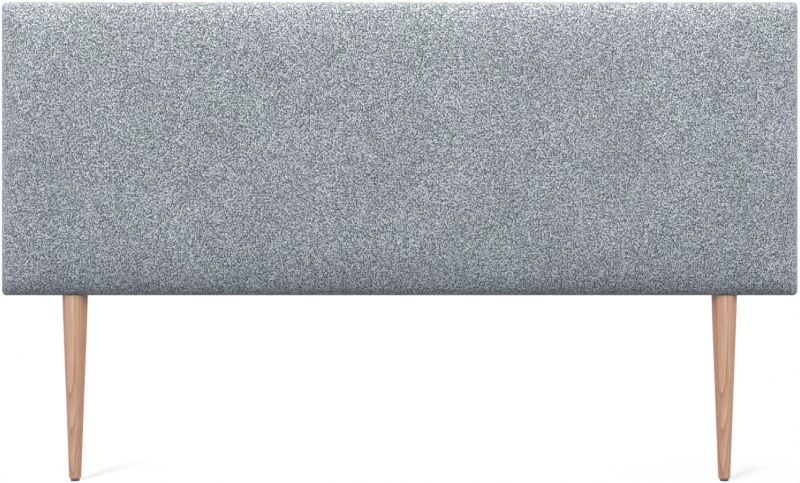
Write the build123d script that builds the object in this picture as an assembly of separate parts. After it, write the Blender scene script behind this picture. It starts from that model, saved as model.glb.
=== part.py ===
from build123d import *
import math
import os

# A freestanding upholstered headboard: a padded panel on two turned, tapered legs.
# Millimetres. X runs to the right as seen from the front, the front faces -Y, and Z is up.
# The origin is on the floor, under the middle of the whole object.

# Overall sizes
panel_width = 1600.0
panel_height = 590.0
leg_length = 371.0
leg_spacing = 1310.0

# Layers of the panel, from the front to the back
cover_thickness = 1.2
layer_gap = 0.3
wadding_thickness = 3.4
foam_thickness = 25.0
board_thickness = 3.0
timber_depth = 45.0
dust_sheet = 0.3
dust_cover_thickness = 2 * dust_sheet

# The soft outline of the panel
corner_radius = 10.0
edge_roll = 18.0
crown_width = 90.0
crown_drop = 8.0
back_roll = 4.0

# Cover, turned over the frame and stapled on its back
hem_width = 35.0
mitre_width = 0.6
mitre_depth = 0.6

# Timber frame
rail_height = 45.0
stile_width = 45.0
middle_stile_spacing = 500.0
timber_arris = 2.0
tenon_thickness = 15.0
tenon_shoulder = 10.0
tenon_length = 25.0
mortise_end_gap = 1.0

# Plywood pads that carry the leg nuts
pad_length = 120.0
pad_thickness = 18.0

# Legs
leg_top_diameter = 51.0
leg_shoulder_diameter = 48.2
leg_shoulder_drop = 50.0
leg_foot_diameter = 24.2
leg_foot_chamfer = 3.0

# Leg bolts, their nuts and the glides
bolt_diameter = 8.0
bolt_clearance = 0.5
bolt_in_leg = 50.0
bolt_point = 7.0
bolt_point_diameter = 2.0
bolt_above_nut = 5.0
nut_flange_diameter = 22.0
nut_flange_thickness = 1.5
nut_barrel_diameter = 10.0
nut_barrel_length = 11.0
nut_prong_count = 4
nut_prong_width = 4.0
nut_prong_length = 8.0
nut_front_margin = 1.3
glide_diameter = 18.0
glide_height = 4.0
glide_edge = 1.0
glide_nail_diameter = 2.4
glide_nail_length = 14.0

# Screws
screw_diameter = 4.0
screw_head_diameter = 8.0
screw_head_height = 2.4
clip_screw_length = 30.0

# Staples
staple_crown = 10.0
staple_leg = 8.0
staple_wire = 0.6
staple_wire_width = 1.2
hem_staple_inset = 28.0
hem_staple_pitch = 130.0
board_staple_inset = 24.0
board_staple_pitch = 170.0

# Dust cover
dust_cover_inset = 15.0
dust_cover_turning = 15.0
dust_staple_inset = 21.0
dust_staple_pitch = 130.0

# Wall clips: the headboard halves of two interlocking steel hangers
clip_spacing = 1000.0
clip_width = 50.0
clip_plate_height = 26.0
clip_lip_height = 16.0
clip_metal = 2.0
clip_throat = 3.0
clip_drop = 27.0
clip_corner = 4.0
clip_bend = 1.0
clip_hole_spacing = 28.0
joggle_turn = 45.0

# One overrun for every cut that passes a face
overrun = 5.0

# Worked out from the sizes above
skin_to_wadding = cover_thickness + layer_gap
skin_to_foam = skin_to_wadding + wadding_thickness + layer_gap
panel_depth = (
    skin_to_foam + foam_thickness + board_thickness + timber_depth + cover_thickness + dust_cover_thickness
)
clip_standoff = clip_throat + clip_metal
front_y = -(panel_depth + clip_standoff) / 2
foam_back_y = front_y + skin_to_foam + foam_thickness
frame_front_y = foam_back_y + board_thickness
frame_back_y = frame_front_y + timber_depth
hem_back_y = frame_back_y + cover_thickness
back_y = hem_back_y + dust_cover_thickness
frame_mid_y = (frame_front_y + frame_back_y) / 2

panel_low_z = glide_height + leg_length
panel_top_z = panel_low_z + panel_height
panel_mid_z = (panel_low_z + panel_top_z) / 2
frame_width = panel_width - 2 * skin_to_foam
frame_height = panel_height - 2 * skin_to_foam
frame_corner = corner_radius - skin_to_foam
frame_low_z = panel_low_z + skin_to_foam
frame_top_z = panel_top_z - skin_to_foam
stile_height = frame_height - 2 * rail_height
end_stile_x = (frame_width - stile_width) / 2
middle_stile_x = middle_stile_spacing / 2
stile_places = (-end_stile_x, -middle_stile_x, middle_stile_x, end_stile_x)

leg_x = leg_spacing / 2
leg_y = frame_front_y + nut_front_margin + nut_flange_diameter / 2
pad_low_z = frame_low_z + rail_height
pad_top_z = pad_low_z + pad_thickness
bolt_low_z = panel_low_z - bolt_in_leg
bolt_top_z = pad_top_z + nut_flange_thickness + bolt_above_nut

clip_x = clip_spacing / 2
clip_top_z = panel_top_z - clip_drop
clip_screw_z = clip_top_z - clip_plate_height / 2

parts = {}


# Shared shapes

def block(x_range, y_range, z_range):
    """A box between two places on each axis."""
    sizes = [high - low for low, high in (x_range, y_range, z_range)]
    middle = [(high + low) / 2 for low, high in (x_range, y_range, z_range)]
    return Pos(*middle) * Box(*sizes)


def upright_pin(x, y, low, high, diameter):
    """A round pin along Z."""
    return Pos(x, y, (low + high) / 2) * Cylinder(diameter / 2, high - low)


def turned(points):
    """A solid turned about the Z axis from the half outline given as (radius, height) points."""
    outline = make_face(Polyline([(radius, 0, height) for radius, height in points], close=True))
    return revolve(outline, Axis.Z)


def screw(length):
    """A screw with its head above the origin and its shank below, along Z."""
    head = upright_pin(0, 0, 0, screw_head_height, screw_head_diameter)
    return head + upright_pin(0, 0, -length, screw_head_height, screw_diameter)


# The soft form: a tight roll from the side walls, then a wide crown up to the flat front

def edge_profile(half_length, skin, rear_y, rear_roll):
    """The panel's section across its face, from wall to wall, a skin's depth under its surface."""
    crown_run = crown_width - edge_roll
    crown_turn = 2 * math.atan(crown_drop / crown_run)
    roll = edge_roll - skin
    wall_x = half_length - skin
    wall_y = front_y + edge_roll + crown_drop
    rear_x = wall_x - rear_roll
    meeting_x = half_length - edge_roll + roll * math.sin(crown_turn)
    meeting_y = wall_y - roll * math.cos(crown_turn)
    crown_x = half_length - crown_width
    wall = Line((wall_x, rear_y - rear_roll), (wall_x, wall_y))
    rolled = TangentArc((wall_x, wall_y), (meeting_x, meeting_y), tangent=(0, -1))
    crowned = TangentArc((meeting_x, meeting_y), (crown_x, front_y + skin), tangent=rolled % 1)
    edge = wall + rolled + crowned
    if rear_roll > 0:
        edge += TangentArc((wall_x, rear_y - rear_roll), (rear_x, rear_y), tangent=(0, 1))
    front = Line((crown_x, front_y + skin), (-crown_x, front_y + skin))
    rear = Line((-rear_x, rear_y), (rear_x, rear_y))
    return make_face(edge + front + mirror(edge, Plane.YZ) + rear)


def soft_form(skin, rear_y, rear_roll=0.0):
    """The panel's form a skin's depth under its surface, from the crowned front to a flat back."""
    across = extrude(edge_profile(panel_width / 2, skin, rear_y, rear_roll), panel_height / 2, both=True)
    upright = extrude(edge_profile(panel_height / 2, skin, rear_y, rear_roll), panel_width / 2, both=True)
    rectangle = RectangleRounded(panel_width - 2 * skin, panel_height - 2 * skin, corner_radius - skin)
    walls = Pos(0, front_y, 0) * Rot(-90, 0, 0) * extrude(rectangle, rear_y - front_y)
    return Pos(0, 0, panel_mid_z) * (walls & across & Rot(0, 90, 0) * upright)


def bolt_passage(low, high):
    """The clearance holes that both leg bolts pass through."""
    diameter = bolt_diameter + 2 * bolt_clearance
    return [upright_pin(side * leg_x, leg_y, low, high, diameter) for side in (-1, 1)]


# Timber frame

def tenons(end_gap=0.0):
    """The stub tenons on both ends of every stile, made longer by the gap left in the bottom of a mortise."""
    half_width = stile_width / 2 - tenon_shoulder
    half_thickness = tenon_thickness / 2
    reach = tenon_length + end_gap
    depths = (frame_mid_y - half_thickness, frame_mid_y + half_thickness)
    heights = (pad_low_z - reach, frame_top_z - rail_height + reach)
    return [block((x - half_width, x + half_width), depths, heights) for x in stile_places]


def rail(low_z, outer_side):
    """A full-length rail, its outer corners rounded. The outer side is 0 below, -1 above."""
    half = frame_width / 2
    piece = block((-half, half), (frame_front_y, frame_back_y), (low_z, low_z + rail_height))
    piece = fillet(piece.edges().filter_by(Axis.Y).group_by(Axis.Z)[outer_side], frame_corner)
    return eased(piece, Axis.Z, outer_side)


def eased(piece, axis, outer_side):
    """Ease the back arris of a frame piece where the cover turns over it."""
    back_edges = piece.faces().sort_by(Axis.Y)[-1].edges()
    return chamfer(back_edges.group_by(axis)[outer_side], timber_arris)


def make_frame():
    """Rails run full length, and the stiles stand between them on stub tenons."""
    mortises = tenons(mortise_end_gap)
    bottom_rail = rail(frame_low_z, 0) - bolt_passage(frame_low_z - overrun, pad_top_z)
    top_rail = rail(frame_top_z - rail_height, -1) - clip_screws()
    parts["frame_bottom_rail"] = bottom_rail - mortises
    parts["frame_top_rail"] = top_rail - mortises
    names = ("frame_left_stile", "frame_middle_stile_left", "frame_middle_stile_right", "frame_right_stile")
    for name, x, tenon in zip(names, stile_places, tenons()):
        half = stile_width / 2
        heights = (pad_low_z, frame_top_z - rail_height)
        stile = block((x - half, x + half), (frame_front_y, frame_back_y), heights)
        if abs(x) == end_stile_x:
            stile = eased(stile, Axis.X, 0 if x < 0 else -1)
        parts[name] = stile + tenon


# Leg pads, nuts, bolts, legs and glides

def leg_nut(side):
    """A pronged tee nut, pressed into the pad from above."""
    top = pad_top_z + nut_flange_thickness
    flange = (pad_top_z, top)
    x = side * leg_x
    nut = upright_pin(x, leg_y, *flange, nut_flange_diameter)
    nut += upright_pin(x, leg_y, pad_top_z - nut_barrel_length, top, nut_barrel_diameter)
    half = nut_prong_width / 2
    prong_outline = make_face(Polyline((-half, 0), (half, 0), (0, -nut_prong_length), close=True))
    reach = nut_flange_diameter / 2 - nut_flange_thickness
    for turn in range(nut_prong_count):
        seat = Pos(x, leg_y, pad_top_z) * Rot(0, 0, turn * 360 / nut_prong_count) * Pos(0, reach, 0)
        nut += seat * extrude(Rot(90, 0, 0) * prong_outline, nut_flange_thickness / 2, both=True)
    bore = upright_pin(x, leg_y, pad_top_z - nut_barrel_length - overrun, top + overrun, bolt_diameter)
    return nut - bore


def leg_bolt(side):
    """A hanger bolt: a pointed wood thread in the leg and a machine thread up through the rail."""
    half = bolt_diameter / 2
    half_point = bolt_point_diameter / 2
    bolt = turned(
        (
            (0, bolt_low_z),
            (half_point, bolt_low_z),
            (half, bolt_low_z + bolt_point),
            (half, bolt_top_z),
            (0, bolt_top_z),
        )
    )
    return Pos(side * leg_x, leg_y, 0) * bolt


def leg_glide(side):
    """A round glide nailed under the foot."""
    half = glide_diameter / 2
    half_nail = glide_nail_diameter / 2
    glide = turned(
        (
            (0, 0),
            (half - glide_edge, 0),
            (half, glide_edge),
            (half, glide_height),
            (half_nail, glide_height),
            (half_nail, glide_nail_length),
            (0, glide_nail_length),
        )
    )
    return Pos(side * leg_x, leg_y, 0) * glide


def leg(side):
    """A turned leg: one long straight cone from the foot, and a slower cone at the top."""
    turning = turned(
        (
            (0, glide_height),
            (leg_foot_diameter / 2 - leg_foot_chamfer, glide_height),
            (leg_foot_diameter / 2, glide_height + leg_foot_chamfer),
            (leg_shoulder_diameter / 2, panel_low_z - leg_shoulder_drop),
            (leg_top_diameter / 2, panel_low_z),
            (0, panel_low_z),
        )
    )
    return Pos(side * leg_x, leg_y, 0) * turning - leg_bolt(side) - leg_glide(side)


def make_legs():
    """The legs stand as far forward as their nuts allow, under the weight of the panel."""
    for side, name in ((-1, "left"), (1, "right")):
        x = side * leg_x
        half = pad_length / 2
        pad = block((x - half, x + half), (frame_front_y, frame_back_y), (pad_low_z, pad_top_z))
        pad -= bolt_passage(pad_low_z - overrun, pad_top_z + overrun)
        parts["leg_pad_" + name] = pad - leg_nut(side)
        parts["leg_" + name] = leg(side)
    parts["leg_nuts"] = [leg_nut(side) for side in (-1, 1)]
    parts["leg_bolts"] = [leg_bolt(side) for side in (-1, 1)]
    parts["leg_glides"] = [leg_glide(side) for side in (-1, 1)]


# Staples

def staple(x, z, turn, crown_y, inward):
    """A staple with its crown's outer face at crown_y and its legs driven inward (1 to the back, -1 to the front)."""
    half = staple_crown / 2
    wire = staple_wire
    shape = Polyline(
        (-half, 0),
        (half, 0),
        (half, staple_leg),
        (half - wire, staple_leg),
        (half - wire, wire),
        (wire - half, wire),
        (wire - half, staple_leg),
        (-half, staple_leg),
        close=True,
    )
    solid = extrude(make_face(shape), staple_wire_width / 2, both=True)
    facing = 0 if inward > 0 else 180
    return Pos(x, crown_y, z) * Rot(0, turn, 0) * Rot(0, 0, facing) * solid


def along(length, pitch):
    """Evenly spaced places over a length, close to the pitch, half a step in from each end."""
    count = max(2, round(length / pitch))
    step = length / count
    return [(index + 0.5) * step - length / 2 for index in range(count)]


def edge_places(inset, pitch):
    """X, Z and turn of each staple round the panel, an inset from its outline."""
    half_width = panel_width / 2 - inset
    half_height = panel_height / 2 - inset
    places = []
    for side in (-1, 1):
        places += [(x, panel_mid_z + side * half_height, 0) for x in along(2 * half_width, pitch)]
        places += [(side * half_width, panel_mid_z + z, 90) for z in along(2 * half_height, pitch)]
    return places


def clear_of_clips(place):
    """Whether a staple leaves room for the wall clips and their screws."""
    x, z, turn = place
    room = (clip_width + staple_crown) / 2 + clip_bend
    return z < clip_top_z - clip_plate_height - clip_lip_height or abs(abs(x) - clip_x) > room


def board_staples():
    """Staples through the board, round the frame and down the middle stiles."""
    places = edge_places(board_staple_inset, board_staple_pitch)
    places += [
        (x, panel_mid_z + z, 90)
        for x in (-middle_stile_x, middle_stile_x)
        for z in along(stile_height, board_staple_pitch)
    ]
    return [staple(*place, foam_back_y, 1) for place in places]


def hem_staples():
    """Staples that hold the cover, their crowns sunk flush in the fabric."""
    places = filter(clear_of_clips, edge_places(hem_staple_inset, hem_staple_pitch))
    return [staple(*place, hem_back_y, -1) for place in places]


def dust_cover_staples():
    """Staples that hold the dust cover, their crowns lying on it."""
    places = filter(clear_of_clips, edge_places(dust_staple_inset, dust_staple_pitch))
    return [staple(*place, back_y + staple_wire, -1) for place in places]


# Board, foam, wadding and covers

def make_board():
    """A hardboard sheet over the whole front of the frame."""
    half = frame_width / 2
    board = block((-half, half), (foam_back_y, frame_front_y), (frame_low_z, frame_top_z))
    parts["front_board"] = fillet(board.edges().filter_by(Axis.Y), frame_corner)
    parts["board_staples"] = board_staples()


def make_padding():
    """Foam with rolled edges, and wadding over it and round the sides, trimmed short of the back."""
    parts["foam_pad"] = soft_form(skin_to_foam, foam_back_y)
    outside = soft_form(skin_to_wadding, frame_back_y - back_roll)
    inside = soft_form(skin_to_foam - layer_gap, frame_back_y)
    parts["wadding"] = outside - inside - bolt_passage(panel_low_z, frame_low_z + overrun)


def mitres():
    """The fold lines where the hem turns the corners of the back."""
    cuts = []
    for x_side in (-1, 1):
        for z_side in (-1, 1):
            corner = Pos(x_side * panel_width / 2, hem_back_y, panel_mid_z + z_side * panel_height / 2)
            line = Box(4 * hem_width, 2 * mitre_depth, mitre_width)
            cuts.append(corner * Rot(0, -45 * x_side * z_side, 0) * line)
    return cuts


def make_cover():
    """One piece of fabric over the front and all four sides, turned onto the back and mitred there."""
    outside = soft_form(0, hem_back_y, back_roll)
    inside = soft_form(cover_thickness, frame_back_y, back_roll - cover_thickness)
    half_width = panel_width / 2 - hem_width
    half_height = panel_height / 2 - hem_width
    window = block(
        (-half_width, half_width),
        (frame_back_y - overrun, hem_back_y + overrun),
        (panel_mid_z - half_height, panel_mid_z + half_height),
    )
    cover = outside - inside - window - mitres()
    parts["cover"] = cover - bolt_passage(panel_low_z - overrun, panel_low_z + overrun)
    parts["hem_staples"] = hem_staples()


def make_dust_cover():
    """A thin nonwoven sheet over the open back, its edges turned under."""
    half_width = panel_width / 2 - dust_cover_inset
    half_height = panel_height / 2 - dust_cover_inset
    sheet = block(
        (-half_width, half_width),
        (hem_back_y, back_y),
        (panel_mid_z - half_height, panel_mid_z + half_height),
    )
    inner_width = half_width - dust_cover_turning
    inner_height = half_height - dust_cover_turning
    single = block(
        (-inner_width, inner_width),
        (hem_back_y - overrun, back_y - dust_sheet),
        (panel_mid_z - inner_height, panel_mid_z + inner_height),
    )
    parts["dust_cover"] = sheet - single - clip_screws()
    parts["dust_cover_staples"] = dust_cover_staples()


# Wall clips

def clip_screws():
    """Two screws through each clip into the top rail."""
    seat = back_y + clip_metal
    places = [side * clip_x + end * clip_hole_spacing / 2 for side in (-1, 1) for end in (-1, 1)]
    return [Pos(x, seat, clip_screw_z) * Rot(-90, 0, 0) * screw(clip_screw_length) for x in places]


def wall_clip(side):
    """Pressed steel: a screwed plate, a joggle away from the panel and a lip that hooks downwards."""
    shift = clip_metal * math.tan(math.radians(joggle_turn / 2))
    plate_low = clip_top_z - clip_plate_height
    lip_top = plate_low - clip_throat
    lip_low = lip_top - clip_lip_height
    profile = Polyline(
        (0, back_y, clip_top_z),
        (0, back_y, plate_low),
        (0, back_y + clip_throat, lip_top),
        (0, back_y + clip_throat, lip_low),
        (0, back_y + clip_standoff, lip_low),
        (0, back_y + clip_standoff, lip_top + shift),
        (0, back_y + clip_metal, plate_low + shift),
        (0, back_y + clip_metal, clip_top_z),
        close=True,
    )
    strip = extrude(make_face(profile), clip_width / 2, both=True, dir=(1, 0, 0))
    bends = strip.edges().filter_by(Axis.X).filter_by_position(Axis.Z, lip_top - shift, plate_low + 2 * shift)
    strip = fillet(bends, clip_bend)
    corners = strip.edges().filter_by(Axis.Y)
    strip = fillet(corners, clip_corner)
    return Pos(side * clip_x, 0, 0) * strip - clip_screws()


def make_clips():
    """Both clips and their screws."""
    for side, name in ((-1, "left"), (1, "right")):
        parts["wall_clip_" + name] = wall_clip(side)
    parts["clip_screws"] = clip_screws()


def write_parts():
    """One file for each named piece or group of like pieces."""
    os.makedirs("parts", exist_ok=True)
    for name, piece in parts.items():
        shape = Compound(children=list(piece)) if isinstance(piece, list) else piece
        export_step(shape, f"parts/{name}.step")


make_frame()
make_legs()
make_board()
make_padding()
make_cover()
make_dust_cover()
make_clips()
write_parts()
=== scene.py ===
import math

import bmesh
import bpy
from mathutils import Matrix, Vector, noise


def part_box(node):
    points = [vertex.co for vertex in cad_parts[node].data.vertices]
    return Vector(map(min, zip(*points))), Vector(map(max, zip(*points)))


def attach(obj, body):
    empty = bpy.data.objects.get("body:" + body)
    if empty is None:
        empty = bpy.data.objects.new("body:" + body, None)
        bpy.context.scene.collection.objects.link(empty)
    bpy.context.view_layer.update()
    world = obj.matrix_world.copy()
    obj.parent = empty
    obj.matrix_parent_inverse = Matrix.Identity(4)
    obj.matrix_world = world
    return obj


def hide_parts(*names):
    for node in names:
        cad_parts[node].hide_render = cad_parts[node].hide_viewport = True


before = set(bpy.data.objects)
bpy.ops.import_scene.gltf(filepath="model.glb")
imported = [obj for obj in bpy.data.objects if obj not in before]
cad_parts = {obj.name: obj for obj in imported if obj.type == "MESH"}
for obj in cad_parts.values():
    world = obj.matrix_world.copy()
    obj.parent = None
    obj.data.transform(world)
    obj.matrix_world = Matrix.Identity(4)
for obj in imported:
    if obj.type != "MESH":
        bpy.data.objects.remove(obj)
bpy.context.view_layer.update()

# Timber frame
# Planed pine rails and stiles, 45 mm square, glued together on stub tenons.
# They are sawn askew to the growth rings, which show as long narrow bands along each piece.

PINE_RING = 0.0042
PINE_FIBRE = 0.0011111
PINE_SWAY = 0.012
PINE_SWAY_LENGTH = 0.071429
PINE_RELIEF = 0.0002
LENGTHWISE_SHARE = 0.06
SAWN_TURN = 0.5
STRAY_TURN = 0.03
# A wave texture at scale 1 repeats after 0.31 of its coordinate.
WAVE_LENGTH = 0.31


def linear(colour):
    """The linear colour of an sRGB hex value."""
    parts = [int(colour[place:place + 2], 16) / 255 for place in (1, 3, 5)]
    return [p / 12.92 if p <= 0.04045 else ((p + 0.055) / 1.055) ** 2.4 for p in parts] + [1.0]


def add(tree, kind, inputs=None, stops=(), **settings):
    """Adds a shader node, sets its properties, inputs and colour stops, and links inputs given a socket."""
    made = tree.nodes.new("ShaderNode" + kind)
    for name, value in settings.items():
        setattr(made, name, value)
    for name, value in (inputs or {}).items():
        if isinstance(value, bpy.types.NodeSocket):
            tree.links.new(value, made.inputs[name])
        elif isinstance(value, str):
            made.inputs[name].default_value = linear(value)
        else:
            made.inputs[name].default_value = value
    for index, (place, colour) in enumerate(stops):
        elements = made.color_ramp.elements
        element = elements[index] if index < 2 else elements.new(place)
        element.position = place
        element.color = linear(colour)
    return made.outputs


def start_material(name, roughness, metallic=0.0):
    """A new material with its Principled shader set to what is the same all over the surface."""
    made = bpy.data.materials.new(name)
    made.use_nodes = True
    shader = made.node_tree.nodes["Principled BSDF"]
    shader.inputs["Roughness"].default_value = roughness
    shader.inputs["Metallic"].default_value = metallic
    shader.inputs["IOR"].default_value = 1.5
    return made, made.node_tree, shader


def feed(tree, shader, colour, height, depth, strength=1.0):
    """Links a colour, and a height that is a share of the given depth in metres, to a shader."""
    tree.links.new(colour, shader.inputs["Base Color"])
    relief = add(tree, "Bump", {"Height": height, "Distance": depth, "Strength": strength})
    tree.links.new(relief["Normal"], shader.inputs["Normal"])


def dress(material, *nodes):
    """Gives CAD nodes their material."""
    for name in nodes:
        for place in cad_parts[name].material_slots:
            place.material = material


def softwood(name, lengthwise):
    """Pine: pale earlywood and narrow amber latewood, in bands along the given axis."""
    material, tree, shader = start_material(name, 0.6)
    place = add(tree, "TexCoord")["Object"]
    stretch = [LENGTHWISE_SHARE if axis == lengthwise else 1.0 for axis in "XYZ"]
    sawn = [SAWN_TURN if axis == lengthwise else STRAY_TURN for axis in "XYZ"]
    along = add(tree, "Mapping", {"Vector": place, "Scale": stretch, "Rotation": sawn})["Vector"]
    sway = add(tree, "TexNoise", {"Vector": along, "Scale": 1 / PINE_SWAY_LENGTH, "Detail": 2.0})["Color"]
    swayed = add(tree, "VectorMath", {0: sway, 1: (PINE_SWAY, PINE_SWAY, PINE_SWAY), 2: along},
                 operation="MULTIPLY_ADD")[0]
    rings = add(tree, "TexWave", {"Vector": swayed, "Scale": WAVE_LENGTH / PINE_RING, "Distortion": 0.6},
                wave_type="BANDS", bands_direction="Y", wave_profile="SAW")["Fac"]
    bands = add(tree, "ValToRGB", {"Fac": rings},
                stops=((0.0, "#ecd3ac"), (0.9, "#cd9d66"), (0.62, "#e3c296"), (1.0, "#ddba8b")))["Color"]
    fibre = add(tree, "TexNoise", {"Vector": along, "Scale": 1 / PINE_FIBRE, "Detail": 3.0})["Fac"]
    tone = add(tree, "MapRange", {"Value": fibre, "From Min": 0.3, "From Max": 0.7,
                                  "To Min": 0.9, "To Max": 1.04})[0]
    colour = add(tree, "VectorMath", {0: bands, 1: tone}, operation="MULTIPLY")[0]
    feed(tree, shader, colour, fibre, PINE_RELIEF)
    return material


dress(softwood("pine along the rails", "X"), "frame_top_rail", "frame_bottom_rail")
dress(softwood("pine along the stiles", "Z"), "frame_left_stile", "frame_right_stile",
      "frame_middle_stile_left", "frame_middle_stile_right")

# Leg pads, nuts and bolts
# A plywood block on the bottom rail over each leg, with a pronged steel nut driven into its top.
# The leg's hanger bolt comes up through the rail and the block into that nut.

PLY_THICKNESS = 0.0028
PLY_GRAIN_LENGTH = 0.083333
PLY_GRAIN_WIDTH = 0.0033333
PLY_RELIEF = 0.0001
BOLT_PITCH = 0.00125
BOLT_THREAD_RELIEF = 0.0006
ZINC_CAST = 0.016667
ZINC_CRYSTAL = 0.0025
ZINC_RELIEF = 0.00003


def plywood():
    """Birch plywood: pale veneers laid crosswise, seen as lighter and darker stripes on the edges."""
    material, tree, shader = start_material("birch plywood", 0.55)
    place = add(tree, "TexCoord")["Object"]
    height = add(tree, "SeparateXYZ", {"Vector": place})["Z"]
    plies = add(tree, "Math", {0: height, 1: PLY_THICKNESS}, operation="PINGPONG")[0]
    ply = add(tree, "Math", {0: plies, 1: PLY_THICKNESS / 2}, operation="GREATER_THAN")[0]
    grains = (1 / PLY_GRAIN_LENGTH, 1 / PLY_GRAIN_WIDTH, 1 / PLY_GRAIN_WIDTH)
    grain_place = add(tree, "Mapping", {"Vector": place, "Scale": grains})[0]
    grain = add(tree, "TexNoise", {"Vector": grain_place, "Scale": 1.0, "Detail": 4.0})["Fac"]
    face = add(tree, "Mix", {"Factor": grain, 6: "#e6cfa5", 7: "#d3b27e"}, data_type="RGBA")[2]
    colour = add(tree, "Mix", {"Factor": ply, 6: face, 7: "#b98d58"}, data_type="RGBA")[2]
    feed(tree, shader, colour, grain, PLY_RELIEF)
    return material


def zinc_steel(name, pitch=None, roughness=0.34):
    """Zinc-plated steel: cool grey with a faint yellow and blue cast, dull in spots, ridged by any thread."""
    material, tree, shader = start_material(name, roughness, metallic=1.0)
    place = add(tree, "TexCoord")["Object"]
    cast = add(tree, "TexNoise", {"Vector": place, "Scale": 1 / ZINC_CAST, "Detail": 3.0})["Fac"]
    colour = add(tree, "ValToRGB", {"Fac": cast},
                 stops=((0.3, "#b7bab6"), (0.7, "#c3c3bb"), (0.5, "#bcc0c4")))[0]
    dull = add(tree, "TexNoise", {"Vector": place, "Scale": 1 / ZINC_CRYSTAL, "Detail": 4.0})["Fac"]
    worn = add(tree, "MapRange", {"Value": dull, "From Min": 0.35, "From Max": 0.7,
                                  "To Min": roughness - 0.08, "To Max": roughness + 0.14})[0]
    tree.links.new(worn, shader.inputs["Roughness"])
    if not pitch:
        feed(tree, shader, colour, dull, ZINC_RELIEF)
        return material
    up = add(tree, "SeparateXYZ", {"Vector": place})["Z"]
    flank = add(tree, "Math", {0: up, 1: pitch / 2}, operation="PINGPONG")[0]
    ridge = add(tree, "Math", {0: flank, 1: 2 / pitch}, operation="MULTIPLY")[0]
    feed(tree, shader, colour, ridge, BOLT_THREAD_RELIEF)
    return material


dress(plywood(), "leg_pad_left", "leg_pad_right")
dress(zinc_steel("zinc plated nuts"), "leg_nuts")
dress(zinc_steel("zinc plated bolt thread", BOLT_PITCH), "leg_bolts")

# Front board and its staples
# A 3 mm sheet of brown hardboard that closes the front of the frame and backs the foam.
# It is stapled to every rail and stile; its smooth face has a fine felted fibre pattern.

FIBRE_WIDTH = 0.0009
BOARD_RELIEF = 0.0002
WIRE_SPANGLE = 0.00066667
WIRE_RELIEF = 0.00002


def hardboard():
    """Pressed wood fibre, dark brown with short paler fibres lying every way."""
    material, tree, shader = start_material("hardboard", 0.5)
    place = add(tree, "TexCoord")["Object"]
    fibres = add(tree, "TexVoronoi", {"Vector": place, "Scale": 1 / (3 * FIBRE_WIDTH)}, feature="F1")["Color"]
    grit = add(tree, "TexNoise", {"Vector": place, "Scale": 1 / (2 * FIBRE_WIDTH), "Detail": 5.0})["Fac"]
    spread = add(tree, "Mix", {"Factor": 0.5, 2: grit, 3: fibres})[0]
    colour = add(tree, "ValToRGB", {"Fac": spread},
                 stops=((0.25, "#5b3d24"), (0.8, "#8f6a45"), (0.5, "#75502f")))[0]
    feed(tree, shader, colour, grit, BOARD_RELIEF)
    return material


def staple_wire():
    """Galvanised staple wire: bright grey, faintly mottled where its zinc has set."""
    material, tree, shader = start_material("galvanised staple wire", 0.3, metallic=1.0)
    place = add(tree, "TexCoord")["Object"]
    spangle = add(tree, "TexNoise", {"Vector": place, "Scale": 1 / WIRE_SPANGLE, "Detail": 2.0})["Fac"]
    colour = add(tree, "Mix", {"Factor": spangle, 6: "#a6a9ac", 7: "#cfd1d3"}, data_type="RGBA")[2]
    feed(tree, shader, colour, spangle, WIRE_RELIEF)
    return material


wire = staple_wire()
dress(hardboard(), "front_board")
dress(wire, "board_staples")

# Foam pad
# A 25 mm sheet of soft polyurethane foam glued on the board, its front edges rolled by the pull of the cover.
# It is cream coloured and shows the fine open cells of slab foam.

# How steep the cover stands at each inset from its edge, in degrees, read from the photograph's shading.
EDGE_SLOPES = ((0.0, 90), (0.004, 55), (0.008, 38), (0.014, 25), (0.022, 17), (0.028, 14), (0.038, 10),
               (0.056, 6), (0.084, 3), (0.120, 0))
ROLL_WIDTH = 0.022
ARC_TURN = 4
BACK_ROLL = 0.004
OUTLINE_RADIUS = 0.010
CORNER_SOFTNESS = 0.6
WALL_STEP = 0.006
ARC_STEPS = 14
STEPS_ACROSS = 190
STEPS_UP = 72
LEVEL_STEPS = 14
BUNCHING = 0.85
HEM_CORNER = 0.0008
WELD = 0.00001
FRONT_ZONE = 0.02
FOAM_CELL = 0.0011
FOAM_CELL_DEPTH = 0.0007
FOAM_DRIFT = 0.11111
FOAM_CORNER = 0.004
FOAM_BACK_EDGE = 0.002

cover_low, cover_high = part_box("cover")
panel_middle = (cover_low[2] + cover_high[2]) / 2
half_width = (cover_high[0] - cover_low[0]) / 2
half_height = (cover_high[2] - cover_low[2]) / 2
front_y = cover_low[1]
cover_depth = cover_high[1] - cover_low[1]


def front_profile(low_depth):
    """(inset, depth, outward inset, outward depth) from the wall at low_depth to the middle of the front."""
    arcs = []
    for (inset, steep), (next_inset, next_steep) in zip(EDGE_SLOPES, EDGE_SLOPES[1:]):
        steps = max(2, round((steep - next_steep) / ARC_TURN))
        turns = [math.radians(steep + (next_steep - steep) * step / steps) for step in range(steps + 1)]
        radius = (next_inset - inset) / (math.sin(turns[0]) - math.sin(turns[-1]))
        for turn, after in zip(turns, turns[1:]):
            along = inset + radius * (math.sin(turns[0]) - math.sin(turn))
            arcs.append((along, radius * (math.cos(after) - math.cos(turn)), turn))
    depth = sum(arc[1] for arc in arcs)
    steps = max(1, round((low_depth - depth) / WALL_STEP))
    places = [(0, low_depth + (depth - low_depth) * step / steps, -1, 0) for step in range(steps)]
    for inset, drop, turn in arcs:
        places.append((inset, depth, -math.sin(turn), -math.cos(turn)))
        depth -= drop
    level = EDGE_SLOPES[-1][0]
    for step in range(LEVEL_STEPS + 1):
        places.append((level + (half_height - level) * step / LEVEL_STEPS, 0, 0, -1))
    return places


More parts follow.
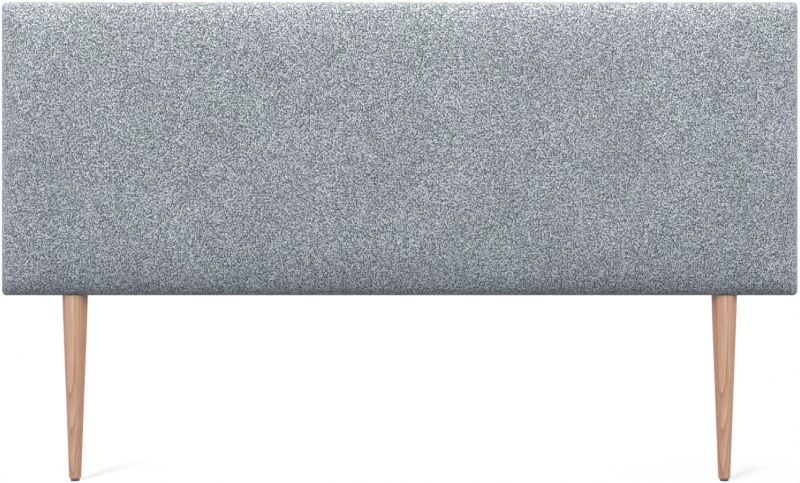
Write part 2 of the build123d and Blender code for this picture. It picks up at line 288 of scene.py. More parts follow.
def lay_flat(rings):
    """Sets each ring's inset on the flat cut, from the length along the surface between it and the middle."""
    flat = rings[-1][0]
    rings[-1][3] = flat
    for ring, inner in zip(rings[-2::-1], rings[:0:-1]):
        flat -= math.hypot(ring[0] - inner[0], ring[1] - inner[1])
        ring[3] = flat
    return rings


def rings_from(places, skin):
    """(inset, depth, corner radius, inset on the flat cut) of each ring, a skin's depth under the surface."""
    rings = []
    for inset, depth, out_inset, out_depth in places:
        radius = min(OUTLINE_RADIUS + CORNER_SOFTNESS * inset, half_height - inset)
        if out_depth > 0 or depth > cover_depth - BACK_ROLL / 2:
            radius = max(OUTLINE_RADIUS - inset, HEM_CORNER)
        rings.append([inset - skin * out_inset, depth - skin * out_depth, max(radius - skin, 0), 0])
    return lay_flat(rings)


def ring_points(wide, high, radius):
    """Points round a rounded rectangle, closer together near its corners."""
    wide, high = max(wide, 0), max(high, 0)
    radius = min(radius, wide, high)
    arcs = []
    for quarter, (side, up) in enumerate(((1, 1), (-1, 1), (-1, -1), (1, -1))):
        centre = Vector((side * (wide - radius), up * (high - radius)))
        angles = [math.pi / 2 * (quarter + step / ARC_STEPS) for step in range(ARC_STEPS + 1)]
        arcs.append([centre + radius * Vector((math.cos(angle), math.sin(angle))) for angle in angles])
    points = []
    for quarter, arc in enumerate(arcs):
        steps = (STEPS_ACROSS, STEPS_UP)[quarter % 2]
        shares = [step / steps for step in range(steps)]
        shares = [share - BUNCHING * math.sin(2 * math.pi * share) / (2 * math.pi) for share in shares]
        points += arc[:-1] + [arc[-1].lerp(arcs[(quarter + 1) % 4][0], share) for share in shares]
    return points


def thicken(sheet, thickness):
    """Gives the active sheet its thickness, inward from its outer face."""
    shell = sheet.modifiers.new("thickness", "SOLIDIFY")
    shell.thickness = thickness
    shell.offset = -1
    bpy.ops.object.modifier_apply(modifier="thickness")


def quilt(name, rings, thickness=0.0, relief=None):
    """A soft layer of the panel from its rings, with its flat cut as its UV map, and a thickness if given."""
    mesh = bpy.data.meshes.new(name)
    shape = bmesh.new()
    flat_map = shape.loops.layers.uv.new("flat_cut")
    flats = {}
    rows = []
    for inset, depth, radius, flat in rings:
        points = ring_points(half_width - inset, half_height - inset, radius)
        flat_points = ring_points(half_width - flat, half_height - flat, radius + inset - flat)
        row = []
        for point, on_cut in zip(points, flat_points):
            place = Vector((point.x, front_y + depth, panel_middle + point.y))
            if relief:
                place = relief(place, inset, depth, point)
            row.append(shape.verts.new(place))
            flats[row[-1]] = on_cut
        rows.append(row)
    for row, inner in zip(rows, rows[1:]):
        for index in range(len(row)):
            after = (index + 1) % len(row)
            face = shape.faces.new((row[index], row[after], inner[after], inner[index]))
            face.smooth = True
            for corner in face.loops:
                corner[flat_map].uv = flats[corner.vert]
    bmesh.ops.remove_doubles(shape, verts=shape.verts, dist=WELD)
    bmesh.ops.recalc_face_normals(shape, faces=shape.faces)
    shape.to_mesh(mesh)
    shape.free()
    made = bpy.data.objects.new(name, mesh)
    bpy.context.collection.objects.link(made)
    bpy.ops.object.select_all(action="DESELECT")
    bpy.context.view_layer.objects.active = made
    made.select_set(True)
    facing = sum(face.normal.y * face.area for face in mesh.polygons if face.center.y < front_y + FRONT_ZONE)
    if facing > 0:
        mesh.flip_normals()
    if thickness:
        thicken(made, thickness)
    return made


def foam():
    """Slab foam: matte cream with fine open cells, slightly deeper in tone at their walls."""
    material, tree, shader = start_material("slab foam", 0.95)
    place = add(tree, "TexCoord")["Object"]
    cells = add(tree, "TexVoronoi", {"Vector": place, "Scale": 1 / FOAM_CELL}, feature="F1")["Distance"]
    drift = add(tree, "TexNoise", {"Vector": place, "Scale": 1 / FOAM_DRIFT, "Detail": 2.0})["Fac"]
    walls = add(tree, "Mix", {"Factor": cells, 6: "#f0e6c4", 7: "#d9caa0"}, data_type="RGBA")[2]
    colour = add(tree, "Mix", {"Factor": drift, 6: walls, 7: "#e9dcb4"}, data_type="RGBA")[2]
    feed(tree, shader, colour, cells, FOAM_CELL_DEPTH)
    return material


foam_low, foam_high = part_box("foam_pad")
foam_skin = foam_low[1] - front_y
foam_back = foam_high[1] - front_y
back_insets = (half_height, EDGE_SLOPES[-1][0], foam_skin + FOAM_BACK_EDGE)
foam_rings = [[inset, foam_back, FOAM_CORNER, inset] for inset in back_insets]
foam_rings += rings_from(front_profile(foam_back), foam_skin)
foam_pad = quilt("foam", foam_rings)
foam_pad.data.materials.append(foam())
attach(foam_pad, "root")
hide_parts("foam_pad")

# Wadding
# A layer of bonded polyester fibre, laid over the foam and round the sides of the frame under the cover.
# It evens out the edge of the foam; it is white, springy and slightly lumpy.

WADDING_TUFT = 0.012
WADDING_RELIEF = 0.0012
LOFT = 0.0004
LOFT_ROOM = 0.0005
LAYER_GAP = 0.0003


def wadding():
    """Bonded polyester wadding: soft white tufts, with painted shade making it a little greyer between them.
    """
    material, tree, shader = start_material("polyester wadding", 1.0)
    place = add(tree, "TexCoord")["Object"]
    tufts = add(tree, "TexNoise", {"Vector": place, "Scale": 1 / WADDING_TUFT, "Detail": 5.0,
                                   "Distortion": 1.5})["Fac"]
    # Painted shade: greyer where the tuft noise is low, the same noise that sinks the surface between the
    # tufts.
    colour = add(tree, "ValToRGB", {"Fac": tufts}, stops=((0.3, "#dddcd6"), (0.7, "#f4f3ee")))[0]
    feed(tree, shader, colour, tufts, WADDING_RELIEF)
    return material


def lofty(place, inset, depth, point):
    """Sinks the wadding a little between its tufts."""
    if inset > ROLL_WIDTH:
        place.y += LOFT * (0.5 + 0.5 * noise.noise(place / WADDING_TUFT))
    return place


wadding_low, wadding_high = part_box("wadding")
wadding_skin = wadding_low[1] - front_y
wadding_depth = foam_skin - wadding_skin - LAYER_GAP
wadding_rings = rings_from(front_profile(wadding_high[1] - front_y), wadding_skin)
fibre_layer = quilt("wadding_layer", wadding_rings, wadding_depth - LOFT_ROOM, lofty)
fibre_layer.data.materials.append(wadding())
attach(fibre_layer, "root")
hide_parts("wadding")

# Cover and hem staples
# One piece of mottled blue-grey boucle cloth, pulled over the front and sides and stapled on the back.
# The pull rolls its edges, folds its corners into a pleat and leaves a slow swell over the front.

# The nubs of such cloth are one to two millimetres across. They are drawn two to three, as coarse as they
# need to be to show at two millimetres to a pixel.
NUB_WIDTH = 0.0023
NUB_LENGTH = 0.0030
NUB_RELIEF = 0.0009
NUBS_PER_SWAY = 1.6
SWAY_SHARE = 0.25
STRAND_SCALE = 1.3
CLOUD = 0.14286
CLOTH = 0.0012
SWELL = 0.0005
SWELLS_ACROSS = 7
SWELLS_UP = 9
PLEAT_RISE = 0.0005
PLEAT_GROOVE = 0.0014
PLEAT_WIDTH = 0.013
PLEAT_START_SHARE = 0.3
PLEAT_EDGE = 0.0024
GROOVE_OFFSET = 1.2
BACK_SHARE = 0.3
MITRE_GROOVE = 0.0008
MITRE_WIDTH = 0.0013
HEM_REACH = 0.020
HEM_STEP = 0.0052
HEM_RINGS = 6
BACK_STEPS = 5


def boucle():
    """Boucle cloth: twisted nubs of pale to dark blue-grey yarn, a little clouded, with a fine pale fuzz, and
    painted shade darkening the gaps between the nubs.
    """
    material, tree, shader = start_material("mottled blue-grey boucle", 0.95)
    shader.inputs["Sheen Weight"].default_value = 0.4
    shader.inputs["Sheen Roughness"].default_value = 0.5
    shader.inputs["Specular IOR Level"].default_value = 0.2
    flat = add(tree, "UVMap", uv_map="flat_cut")["UV"]
    sway = add(tree, "TexNoise", {"Vector": flat, "Scale": 1 / (NUBS_PER_SWAY * NUB_LENGTH), "Detail": 4.0,
                                  "Roughness": 0.75}, noise_dimensions="2D")["Color"]
    sway_reach = (SWAY_SHARE * NUB_WIDTH, SWAY_SHARE * NUB_LENGTH, 0)
    swayed = add(tree, "VectorMath", {0: sway, 1: sway_reach, 2: flat}, operation="MULTIPLY_ADD")[0]
    nubs_place = add(tree, "Mapping", {"Vector": swayed, "Scale": (1 / NUB_WIDTH, 1 / NUB_LENGTH, 1)})[0]
    nubs = add(tree, "TexVoronoi", {"Vector": nubs_place, "Scale": 1.0},
               voronoi_dimensions="2D", feature="F1")
    chance = add(tree, "SeparateColor", {"Color": nubs["Color"]})
    yarns = add(tree, "ValToRGB", {"Fac": chance[0]},
                stops=((0.0, "#8d949f"), (1.0, "#f7fbfe"), (0.5, "#b8c1ce")))[0]
    in_nub = add(tree, "VectorMath", {0: nubs_place, 1: nubs["Position"]}, operation="SUBTRACT")[0]
    turn = add(tree, "Math", {0: chance[1], 1: math.tau}, operation="MULTIPLY")[0]
    turned = add(tree, "VectorRotate", {"Vector": in_nub, "Angle": turn}, rotation_type="Z_AXIS")[0]
    strands = add(tree, "TexWave", {"Vector": turned, "Scale": STRAND_SCALE, "Distortion": 1.5,
                                    "Detail": 1.0}, wave_type="BANDS", bands_direction="X")["Fac"]
    # Painted shade: each nub's yarn darkens towards its edge, to near black in the gaps between nubs; depth
    # below carries this painted shade times the strands.
    painted_nub_gap_shade = add(tree, "MapRange", {"Value": nubs["Distance"], "From Min": 0.16, "From Max": 0.61,
                                 "To Min": 1.0, "To Max": 0.12})[0]
    twist = add(tree, "MapRange", {"Value": strands, "To Min": 0.67, "To Max": 1.21})[0]
    depth = add(tree, "Math", {0: painted_nub_gap_shade, 1: twist}, operation="MULTIPLY")[0]
    drift = add(tree, "TexNoise", {"Vector": flat, "Scale": 1 / CLOUD, "Detail": 3.0},
                noise_dimensions="2D")["Color"]
    drifts = add(tree, "SeparateColor", {"Color": drift})
    cloud = add(tree, "MapRange", {"Value": drifts[1], "From Min": 0.3, "From Max": 0.7,
                                   "To Min": 0.94, "To Max": 1.06})[0]
    clouded = add(tree, "Math", {0: depth, 1: cloud}, operation="MULTIPLY")[0]
    spun = add(tree, "VectorMath", {0: yarns, 1: clouded}, operation="MULTIPLY")[0]
    cast = add(tree, "ValToRGB", {"Fac": drifts[0]}, stops=((0.3, "#f9fffa"), (0.7, "#fcfbff")))[0]
    colour = add(tree, "Mix", {"Factor": 1.0, 6: spun, 7: cast}, data_type="RGBA", blend_type="MULTIPLY")[2]
    round_nub = add(tree, "Math", {0: 1.0, 1: nubs["Distance"]}, operation="SUBTRACT")[0]
    height = add(tree, "Math", {0: strands, 1: 0.15, 2: round_nub}, operation="MULTIPLY_ADD")[0]
    feed(tree, shader, colour, height, NUB_RELIEF, strength=0.7)
    return material


def pulled(place, inset, depth, point):
    """The swell of the front, the pleats at the ends of the top and bottom edges, and the hem's mitres."""
    if depth < ROLL_WIDTH:
        calm = min(1.0, inset / EDGE_SLOPES[-1][0])
        place.y += calm * SWELL * (noise.noise(Vector((SWELLS_ACROSS * place.x, 0, SWELLS_UP * place.z))) + 1)
    on_edge = abs(point.y) > half_height - OUTLINE_RADIUS - inset and inset < ROLL_WIDTH / 2
    if on_edge and ROLL_WIDTH / 2 < depth:
        back = min(1.0, (depth - ROLL_WIDTH / 2) / (cover_depth - ROLL_WIDTH))
        from_corner = half_width - abs(point.x)
        past = (PLEAT_WIDTH * (PLEAT_START_SHARE + back) - from_corner) / PLEAT_EDGE
        lap = max(0.0, min(1.0, 0.5 + past)) * min(1.0, from_corner / OUTLINE_RADIUS)
        groove = math.exp(-(past + GROOVE_OFFSET) ** 2)
        side = 1 if point.y > 0 else -1
        level = 1 if depth < cover_depth - BACK_ROLL else BACK_SHARE
        place.z += side * (PLEAT_RISE * lap - PLEAT_GROOVE * groove) * min(1.0, 4 * back) * level
    if depth > cover_depth - PLEAT_RISE:
        off_mitre = abs(point.x) - half_width + half_height - abs(point.y)
        place.y -= MITRE_GROOVE * math.exp(-(off_mitre / MITRE_WIDTH) ** 2)
    return place


hem_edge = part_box("dust_cover")[0][0] - cover_low[0] + HEM_REACH
back_places = [(hem_edge - step * HEM_STEP, cover_depth, 0, 1) for step in range(HEM_RINGS)]
for step in range(BACK_STEPS + 1):
    turn = math.pi / 2 * (1 - step / BACK_STEPS)
    back_places.append((BACK_ROLL * (1 - math.cos(turn)), cover_depth - BACK_ROLL * (1 - math.sin(turn)),
                        -math.cos(turn), math.sin(turn)))
cover_rings = rings_from(back_places + front_profile(cover_depth - BACK_ROLL)[1:], 0)
cover = quilt("cover_cloth", cover_rings, CLOTH, pulled)
cover.data.materials.append(boucle())
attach(cover, "root")
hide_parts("cover")
dress(wire, "hem_staples")

# Dust cover and its staples
# A black spun polypropylene sheet over the open back, its edges turned under and stapled through the hem.
# It is thin and lightly point-bonded. It sags a little in the middle, and the staples press its edges in.

SHEET = 0.00025
TURNING = 0.015
STAPLE_PITCH = 0.130
BOND_PITCH = 0.0016
BOND_TURN = 0.785
BOND_RELIEF = 0.00015
FILAMENT = 0.0014286
WEB_CLOUD = 0.018182
PULL_WIDTH = 0.06
PUCKER = 0.0002
FOLD_WIDTH = 0.001
FOLD_EASE = 0.0001
FOLD_STEPS = 5
SAG = 0.0012
SAG_WIDTH = 0.08
SAGS_ACROSS = 6
SAGS_UP = 8
DUST_CORNER = 0.0006
EDGE_STEP = 0.005
EDGE_RINGS = 7
MIDDLE_RINGS = 26

dust_low, dust_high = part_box("dust_cover")
dust_inset = dust_low[0] - cover_low[0]
dust_back = dust_high[1] - front_y


def nonwoven():
    """Spun polypropylene: black, with a dotted grid of melted points and a dull plastic shine between."""
    material, tree, shader = start_material("black nonwoven", 0.7)
    flat = add(tree, "UVMap", uv_map="flat_cut")["UV"]
    turned = add(tree, "Mapping", {"Vector": flat, "Rotation": (0, 0, BOND_TURN),
                                   "Scale": (1 / BOND_PITCH, 1 / BOND_PITCH, 1)})[0]
    points = add(tree, "TexVoronoi", {"Vector": turned, "Scale": 1.0, "Randomness": 0.0},
                 voronoi_dimensions="2D", feature="F1")["Distance"]
    bond = add(tree, "MapRange", {"Value": points, "From Min": 0.22, "From Max": 0.34})[0]
    threads = add(tree, "TexNoise", {"Vector": flat, "Scale": 1 / FILAMENT, "Detail": 4.0, "Distortion": 2.0},
                  noise_dimensions="2D")["Fac"]
    cloudy = add(tree, "TexNoise", {"Vector": flat, "Scale": 1 / WEB_CLOUD, "Detail": 3.0},
                 noise_dimensions="2D")["Fac"]
    spun = add(tree, "Mix", {"Factor": cloudy, 6: "#1d1d1f", 7: "#333335"}, data_type="RGBA")[2]
    colour = add(tree, "Mix", {"Factor": bond, 6: "#151516", 7: spun}, data_type="RGBA")[2]
    height = add(tree, "Math", {0: bond, 1: threads}, operation="ADD")[0]
    feed(tree, shader, colour, height, BOND_RELIEF)
    return material


def sagging(place, inset, depth, point):
    """Presses the sheet in by its staples and lets the middle sag."""
    in_from_edge = inset - dust_inset
    along_edge = place.x if abs(point.y) / half_height > abs(point.x) / half_width else place.z
    wave = 0.5 - 0.5 * math.cos(2 * math.pi * along_edge / STAPLE_PITCH)
    near_edge = max(0.0, 1 - in_from_edge / PULL_WIDTH)
    sag = min(1.0, max(0.0, in_from_edge - TURNING) / SAG_WIDTH)
    place.y -= SAG * sag * (0.75 + 0.6 * noise.noise(Vector((SAGS_ACROSS * place.x, 0, SAGS_UP * place.z))))
    if in_from_edge > FOLD_WIDTH:
        place.y -= PUCKER * near_edge * wave
    return place


fold_insets = [TURNING - step * TURNING / FOLD_STEPS for step in range(FOLD_STEPS)]
under = [[dust_inset + fold, dust_back - 2 * SHEET, DUST_CORNER, 0] for fold in fold_insets]
bend = ((FOLD_EASE, 2 * SHEET - FOLD_EASE), (0, SHEET), (FOLD_EASE, FOLD_EASE))
under += [[dust_inset + ease, dust_back - drop, DUST_CORNER, 0] for ease, drop in bend]
over = [[dust_inset + step * EDGE_STEP, dust_back, DUST_CORNER, 0] for step in range(1, EDGE_RINGS + 1)]
inner_start = over[-1][0]
ring_step = (half_height - inner_start) / MIDDLE_RINGS
over += [[inner_start + step * ring_step, dust_back, 0.0, 0] for step in range(1, MIDDLE_RINGS + 1)]
dust_rings = lay_flat(under + over)
dust_cloth = quilt("dust_cloth", dust_rings, 0.0, sagging)
if sum(face.normal.y * face.area for face in dust_cloth.data.polygons) < 0:
    dust_cloth.data.flip_normals()
thicken(dust_cloth, SHEET)
dust_cloth.data.materials.append(nonwoven())
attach(dust_cloth, "root")
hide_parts("dust_cover")
dress(wire, "dust_cover_staples")

# Legs and glides
# Each leg is one turning of pale beech with a clear matt oil, a cone that tapers a little less at its top.
# The lathe cuts through the growth rings, which show as fine streaks and two pointed arches.
# It stands on a dark moulded glide that is pressed into its foot.

BEECH_RING = 0.0030
BEECH_SWAY = 0.004
BEECH_SWAY_LENGTH = 0.016667
BEECH_SWAY_STRETCH = 0.05
PITH_ASIDE = 0.0115
PITH_BEHIND = 0.0335
# Above this height the rings lean with the leg's side and show as straight lines. Below it they stand
# upright, and the taper cuts them into the two arches.
STRAIGHT_FROM = 0.20
STREAK = 0.0015
STREAK_STRETCH = 0.02
STREAK_RELIEF = 0.00008
FLECK = 0.0012
FLECK_STRETCH = 0.16
# Painted light: the front and back of each leg are painted paler, a painted highlight, and its left and right
# sides redder and darker, painted shade.
FACE_PAINTED_HIGHLIGHT = (0.92, 1.01, 1.06, 1)
SIDE_PAINTED_SHADE = (0.77, 0.71, 0.67, 1)
LEG_FOOT_RADIUS = 0.0120
# Each leg is drawn in its own coordinates, which begin this far to the left of its axis.
LEG_ZONE = 0.1
SCUFF = 0.002
SCUFF_RELIEF = 0.00008

leg_low, leg_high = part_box("leg_left")
leg_x = -(leg_low[0] + leg_high[0]) / 2
leg_y = (leg_low[1] + leg_high[1]) / 2
leg_taper = ((leg_high[0] - leg_low[0]) / 2 - LEG_FOOT_RADIUS) / leg_high[2]


def beech():
    """Oiled beech: pinkish tan, darker narrow latewood lines, and short dark flecks along the grain, with a
    painted highlight down its front and back and painted shade on its sides.
    """
    material, tree, shader = start_material("oiled beech", 0.45)
    shader.inputs["Specular IOR Level"].default_value = 0.35
    place = add(tree, "SeparateXYZ", {"Vector": add(tree, "TexCoord")["Object"]})
    across = add(tree, "Math", {0: place["X"], 1: leg_x}, operation="ADD")[0]
    across = add(tree, "Math", {0: across, 1: 2 * leg_x - LEG_ZONE, 2: -LEG_ZONE}, operation="WRAP")[0]
    lean = add(tree, "Math", {0: place["Z"], 1: leg_taper, 2: -leg_taper * STRAIGHT_FROM},
               operation="MULTIPLY_ADD")[0]
    lean = add(tree, "Math", {0: lean, 1: 0.0}, operation="MAXIMUM")[0]
    deep = add(tree, "Math", {0: place["Y"], 1: lean}, operation="ADD")[0]
    local = add(tree, "CombineXYZ", {"X": across, "Y": deep, "Z": place["Z"]})[0]
    centred = add(tree, "Mapping", {"Vector": local, "Location": (-PITH_ASIDE, -PITH_BEHIND - leg_y, 0)})[0]
    slow = add(tree, "Mapping", {"Vector": centred, "Scale": (1, 1, BEECH_SWAY_STRETCH)})[0]
    sway = add(tree, "TexNoise", {"Vector": slow, "Scale": 1 / BEECH_SWAY_LENGTH, "Detail": 2.0})["Color"]
    swayed = add(tree, "VectorMath", {0: sway, 1: (BEECH_SWAY, BEECH_SWAY, 0), 2: slow},
                 operation="MULTIPLY_ADD")[0]
    rings = add(tree, "TexWave", {"Vector": swayed, "Scale": WAVE_LENGTH / BEECH_RING, "Distortion": 0.0},
                wave_type="RINGS", rings_direction="Z", wave_profile="SAW")["Fac"]
    bands = add(tree, "ValToRGB", {"Fac": rings},
                stops=((0.0, "#daad92"), (1.0, "#cf9f83"), (0.8, "#cb997b"), (0.93, "#b68061")))[0]
    streaks_place = add(tree, "Mapping", {"Vector": centred, "Scale": (1, 1, STREAK_STRETCH)})[0]
    streaks = add(tree, "TexNoise", {"Vector": streaks_place, "Scale": 1 / STREAK, "Detail": 3.0})["Fac"]
    tone = add(tree, "MapRange", {"Value": streaks, "From Min": 0.3, "From Max": 0.7,
                                  "To Min": 0.80, "To Max": 1.12})[0]
    streaked = add(tree, "VectorMath", {0: bands, 1: tone}, operation="MULTIPLY")[0]
    # Painted light: paler towards the front and back of the leg, painted shade towards its left and right
    # sides.
    radius = add(tree, "Math", {0: place["Z"], 1: leg_taper, 2: LEG_FOOT_RADIUS}, operation="MULTIPLY_ADD")[0]
    aside = add(tree, "Math", {0: across}, operation="ABSOLUTE")[0]
    out = add(tree, "Math", {0: aside, 1: radius}, operation="DIVIDE")[0]
    painted_shade_share = add(tree, "MapRange", {"Value": out, "From Min": 0.15, "From Max": 0.95},
                     interpolation_type="SMOOTHSTEP")[0]
    painted_light_tint = add(tree, "Mix", {"Factor": painted_shade_share, 6: FACE_PAINTED_HIGHLIGHT, 7: SIDE_PAINTED_SHADE}, data_type="RGBA")[2]
    with_painted_light = add(tree, "VectorMath", {0: streaked, 1: painted_light_tint}, operation="MULTIPLY")[0]
    flecks_place = add(tree, "Mapping", {"Vector": centred, "Scale": (1, 1, FLECK_STRETCH)})[0]
    flecks = add(tree, "TexVoronoi", {"Vector": flecks_place, "Scale": 1 / FLECK}, feature="F1")["Distance"]
    fleck = add(tree, "MapRange", {"Value": flecks, "From Min": 0.08, "From Max": 0.2})[0]
    colour = add(tree, "Mix", {"Factor": fleck, 6: "#a87757", 7: with_painted_light}, data_type="RGBA")[2]
    feed(tree, shader, colour, streaks, STREAK_RELIEF)
    return material


def glide_plastic():
    """Moulded dark brown polyethylene, scuffed a little paler in spots."""
    material, tree, shader = start_material("brown polyethylene glide", 0.45)
    place = add(tree, "TexCoord")["Object"]
    scuffs = add(tree, "TexNoise", {"Vector": place, "Scale": 1 / SCUFF, "Detail": 4.0})["Fac"]
    colour = add(tree, "Mix", {"Factor": scuffs, 6: "#3d2f2a", 7: "#54443c"}, data_type="RGBA")[2]
    feed(tree, shader, colour, scuffs, SCUFF_RELIEF)
    return material


dress(beech(), "leg_left", "leg_right")
dress(glide_plastic(), "leg_glides")

# Wall clips and their screws
# Pressed 2 mm steel clips, zinc plated, that hook down over a matching pair on the wall.
# Each is held to the top rail by two cross-recessed pan head screws.

SCREW_SIDES = 32
RECESS_WIDTH = 0.0011
RECESS_LENGTH = 0.0044
RECESS_DEPTH = 0.0014
HEAD_HEIGHT = 0.0024
# How high each ring of the head is over its seat, and its share of the head's radius.
HEAD_RINGS = ((0.0, 1.0), (0.0005, 1.0), (0.0012, 0.93), (0.0017, 0.78), (0.0020, 0.56))
THREAD_PITCH = 0.0018
THREAD_TURNS = 12
CREST_SHARE = 0.35
CREST_RADIUS = 0.0019
ROOT_RADIUS = 0.0013
POINT_RADIUS = 0.0002
POINT_LENGTH = 0.005

dress(zinc_steel("zinc plated clip", roughness=0.4), "wall_clip_left", "wall_clip_right")

screws_low, screws_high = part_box("clip_screws")
head_radius = (screws_high[2] - screws_low[2]) / 2
screw_z = (screws_high[2] + screws_low[2]) / 2
clip_low, clip_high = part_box("wall_clip_left")
outer_screw = screws_high[0] - head_radius
inner_screw = abs(clip_low[0] + clip_high[0]) - outer_screw
screw_seat = screws_high[1] - HEAD_HEIGHT
screw_tip = screws_low[1] - screw_seat
screw_steel = zinc_steel("zinc plated screw", roughness=0.28)


def pan_head_screw(x):
    """One screw, drawn out ring by ring from its point to its head, with a cross cut into the head."""
    rings = [(screw_tip, POINT_RADIUS), (screw_tip + POINT_LENGTH, ROOT_RADIUS)]
    for turn in range(THREAD_TURNS):
        start = screw_tip + POINT_LENGTH + turn * THREAD_PITCH
        rings += [(start + CREST_SHARE * THREAD_PITCH, CREST_RADIUS), (start + THREAD_PITCH, ROOT_RADIUS)]
    rings += [(0.0, ROOT_RADIUS)] + [(height, share * head_radius) for height, share in HEAD_RINGS]
    bpy.ops.object.select_all(action="DESELECT")
    bpy.ops.mesh.primitive_circle_add(vertices=SCREW_SIDES, radius=POINT_RADIUS, fill_type="NGON",
                                      location=(0, 0, screw_tip))
    made = bpy.context.object
    bpy.ops.object.mode_set(mode="EDIT")
    for (height, radius), (next_height, next_radius) in zip(rings, rings[1:]):
        bpy.ops.mesh.extrude_region_move(TRANSFORM_OT_translate={"value": (0, 0, next_height - height)})
        bpy.ops.transform.resize(value=(next_radius / radius, next_radius / radius, 1))
    bpy.ops.mesh.select_all(action="SELECT")
    bpy.ops.mesh.normals_make_consistent(inside=False)
    bpy.ops.object.mode_set(mode="OBJECT")
    bpy.ops.object.transform_apply(location=True, rotation=True, scale=True)
    made.name = "screw"
    for turn in (0, math.pi / 2):
        bpy.ops.mesh.primitive_cube_add(size=1, location=(0, 0, HEAD_RINGS[-1][0]))
        blade = bpy.context.object
        blade.scale = (RECESS_LENGTH, RECESS_WIDTH, 2 * RECESS_DEPTH)
        blade.rotation_euler = (0, 0, turn)
        bpy.ops.object.transform_apply(location=False, rotation=True, scale=True)
        cut_out = made.modifiers.new("recess", "BOOLEAN")
        cut_out.object = blade
        cut_out.operation = "DIFFERENCE"
        bpy.context.view_layer.objects.active = made
        bpy.ops.object.modifier_apply(modifier="recess")
        bpy.data.objects.remove(blade)
    made.rotation_euler = (-math.pi / 2, 0, 0)
    made.location = (x, screw_seat, screw_z)
    bpy.ops.object.select_all(action="DESELECT")
    made.select_set(True)
    bpy.context.view_layer.objects.active = made
    bpy.ops.object.transform_apply(location=True, rotation=True, scale=True)
    return made


heads = [pan_head_screw(side * place) for side in (-1, 1) for place in (inner_screw, outer_screw)]
bpy.ops.object.select_all(action="DESELECT")
for head in heads:
    head.select_set(True)
bpy.context.view_layer.objects.active = heads[0]
bpy.ops.object.join()
screws = heads[0]
screws.name = "threaded_clip_screws"
screws.data.materials.append(screw_steel)
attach(screws, "root")
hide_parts("clip_screws")

# Floor, lamps and camera
# The object stands on a plain white floor, among soft lamps overhead, at both sides, in front and behind.
# The floor takes none of their light and has a lamp of its own, which casts each leg's one faint shadow.
# The camera is square to the panel and level with the middle of the picture.

FLOOR_SIZE = 60
FLOOR_GLOW = 0.775
FLOOR_BOUNCE = 0.42
SHADE_ASIDE = 0.03
SHADE_BEHIND = 0.09
SHADE_SOLID = 0.09
SHADE_END = 0.30
# Where the panel's outline lies in the photograph, in pixels, and how far it is behind the front, in metres.
PICTURE_WIDTH = 800
PICTURE_HEIGHT = 483
PANEL_LEFT = 1.41
PANEL_RIGHT = 797.96
PANEL_TOP = 1.65
OUTLINE_DEPTH = 0.026
CAMERA_DISTANCE = 4.0
SENSOR = 0.036
MILLIMETRES = 1000


def white_floor():
    """Matt white: shows the floor lamp's shadow beside each foot, plain white elsewhere, clear from below."""
    material = bpy.data.materials.new("white floor")
    material.use_nodes = True
    tree = material.node_tree
    tree.nodes.clear()
    seen = add(tree, "LightPath")
    clear = add(tree, "Math", {0: seen["Is Camera Ray"], 1: seen["Is Glossy Ray"]}, operation="MAXIMUM")[0]
    lit = add(tree, "BsdfDiffuse", {"Color": "#e6e5e2"})[0]
    glow = add(tree, "Emission", {"Color": "#fffefa", "Strength": FLOOR_GLOW})[0]
    shaded = add(tree, "AddShader", {0: lit, 1: glow})[0]
    plain = add(tree, "Emission", {"Color": "#ffffff", "Strength": 1.0})[0]
    place = add(tree, "SeparateXYZ", {"Vector": add(tree, "TexCoord")["Object"]})
    side = add(tree, "Math", {0: place["X"]}, operation="SIGN")[0]
    foot = add(tree, "Math", {0: side, 1: leg_x}, operation="MULTIPLY")[0]
    from_foot = add(tree, "Math", {0: place["X"], 1: foot}, operation="SUBTRACT")[0]
    beside = add(tree, "CombineXYZ", {"X": from_foot, "Y": place["Y"]})[0]
    shade_middle = (SHADE_ASIDE, leg_y + SHADE_BEHIND, 0)
    away = add(tree, "VectorMath", {0: beside, 1: shade_middle}, operation="DISTANCE")["Value"]
    fade = add(tree, "MapRange", {"Value": away, "From Min": SHADE_SOLID, "From Max": SHADE_END})[0]
    seen_floor = add(tree, "MixShader", {"Fac": fade, 1: shaded, 2: plain})[0]
    dull = add(tree, "Emission", {"Color": "#ffffff", "Strength": FLOOR_BOUNCE})[0]
    above = add(tree, "MixShader", {"Fac": clear, 1: dull, 2: seen_floor})[0]
    below = add(tree, "Math", {0: add(tree, "NewGeometry")["Backfacing"], 1: seen["Is Camera Ray"]},
                operation="MULTIPLY")[0]
    shown = add(tree, "MixShader", {"Fac": below, 1: above, 2: add(tree, "BsdfTransparent")[0]})[0]
    add(tree, "OutputMaterial", {"Surface": shown})
    return material


bpy.ops.mesh.primitive_plane_add(size=FLOOR_SIZE, location=(0, 0, 0))
floor = bpy.context.object
floor.name = "floor"
floor.data.materials.append(white_floor())

world = bpy.data.worlds.new("white room")
bpy.context.scene.world = world
world.use_nodes = True
sky = world.node_tree
sky.nodes.clear()
ray = add(sky, "LightPath")
mirrored = add(sky, "Math", {0: ray["Is Glossy Ray"], 1: ray["Is Transmission Ray"]}, operation="MAXIMUM")[0]
seen_sky = add(sky, "Math", {0: ray["Is Camera Ray"], 1: mirrored}, operation="MAXIMUM")[0]
soft = add(sky, "Background", {"Color": "#c9d9ff", "Strength": 0.17})[0]
white = add(sky, "Background", {"Color": "#ffffff", "Strength": 1.0})[0]
room = add(sky, "MixShader", {"Fac": seen_sky, 1: soft, 2: white})[0]
add(sky, "OutputWorld", {"Surface": room})


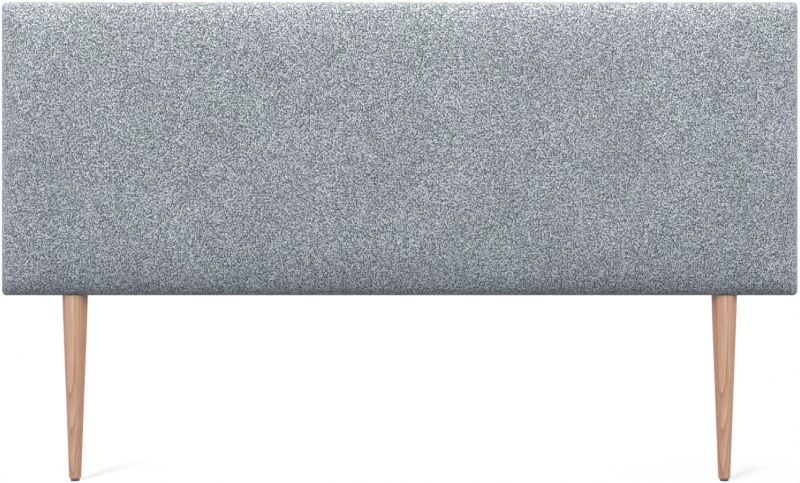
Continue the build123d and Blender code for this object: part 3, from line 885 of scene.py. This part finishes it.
def lamp(name, place, aim, size, power, colour="#ffffff"):
    """A rectangular soft lamp at a place, turned to its aim."""
    data = bpy.data.lights.new(name, "AREA")
    data.shape = "RECTANGLE"
    data.size, data.size_y = size
    data.energy = power
    data.color = linear(colour)[:3]
    made = bpy.data.objects.new(name, data)
    made.location = place
    made.rotation_euler = (Vector(aim) - Vector(place)).to_track_quat("-Z", "Y").to_euler()
    bpy.context.collection.objects.link(made)
    return made


object_lamps = [
    lamp("overhead lamp", (0.0, -0.75, 2.4), (0, 0, 0.7), (3.6, 1.3), 83, "#fff6e6"),
    lamp("left lamp", (-3.55, -1.45, 1.9), (0, 0, 0.7), (1.2, 1.6), 92, "#f3f7ff"),
    lamp("right lamp", (3.55, -1.45, 1.9), (0, 0, 0.7), (1.2, 1.6), 97, "#f3f7ff"),
    lamp("front lamp", (-2.0, -5.8, 3.0), (0, 0, 0.5), (0.5, 0.7), 69, "#f3f7ff"),
    lamp("back lamp", (0.4, 3.4, 2.2), (0, 0, 0.6), (2.4, 1.6), 69, "#f4f8ff")]
not_lit = bpy.data.collections.new("not lit by the object lamps")
not_lit.objects.link(floor)
not_lit.collection_objects[0].light_linking.link_state = "EXCLUDE"
for object_lamp in object_lamps:
    object_lamp.light_linking.receiver_collection = not_lit
floor_only = bpy.data.collections.new("lit by the floor lamp")
floor_only.objects.link(floor)
floor_lamp = lamp("floor lamp", (-2.0, -5.8, 3.0), (0, 0, 0.5), (1.1, 1.1), 195, "#f3f7ff")
floor_lamp.light_linking.receiver_collection = floor_only

camera_data = bpy.data.cameras.new("camera")
camera = bpy.data.objects.new("camera", camera_data)
bpy.context.collection.objects.link(camera)
bpy.context.scene.camera = camera
outline_y = front_y + OUTLINE_DEPTH
metres_per_pixel = 2 * half_width / (PANEL_RIGHT - PANEL_LEFT)
camera_data.sensor_width = MILLIMETRES * SENSOR
camera_data.lens = MILLIMETRES * SENSOR * CAMERA_DISTANCE / (PICTURE_WIDTH * metres_per_pixel)
camera_x = (PICTURE_WIDTH / 2 - (PANEL_LEFT + PANEL_RIGHT) / 2) * metres_per_pixel
camera_z = cover_high[2] - (PICTURE_HEIGHT / 2 - PANEL_TOP) * metres_per_pixel
camera.location = (camera_x, outline_y - CAMERA_DISTANCE, camera_z)
camera.rotation_euler = (math.pi / 2, 0, 0)

bpy.context.scene.view_settings.view_transform = "Standard"
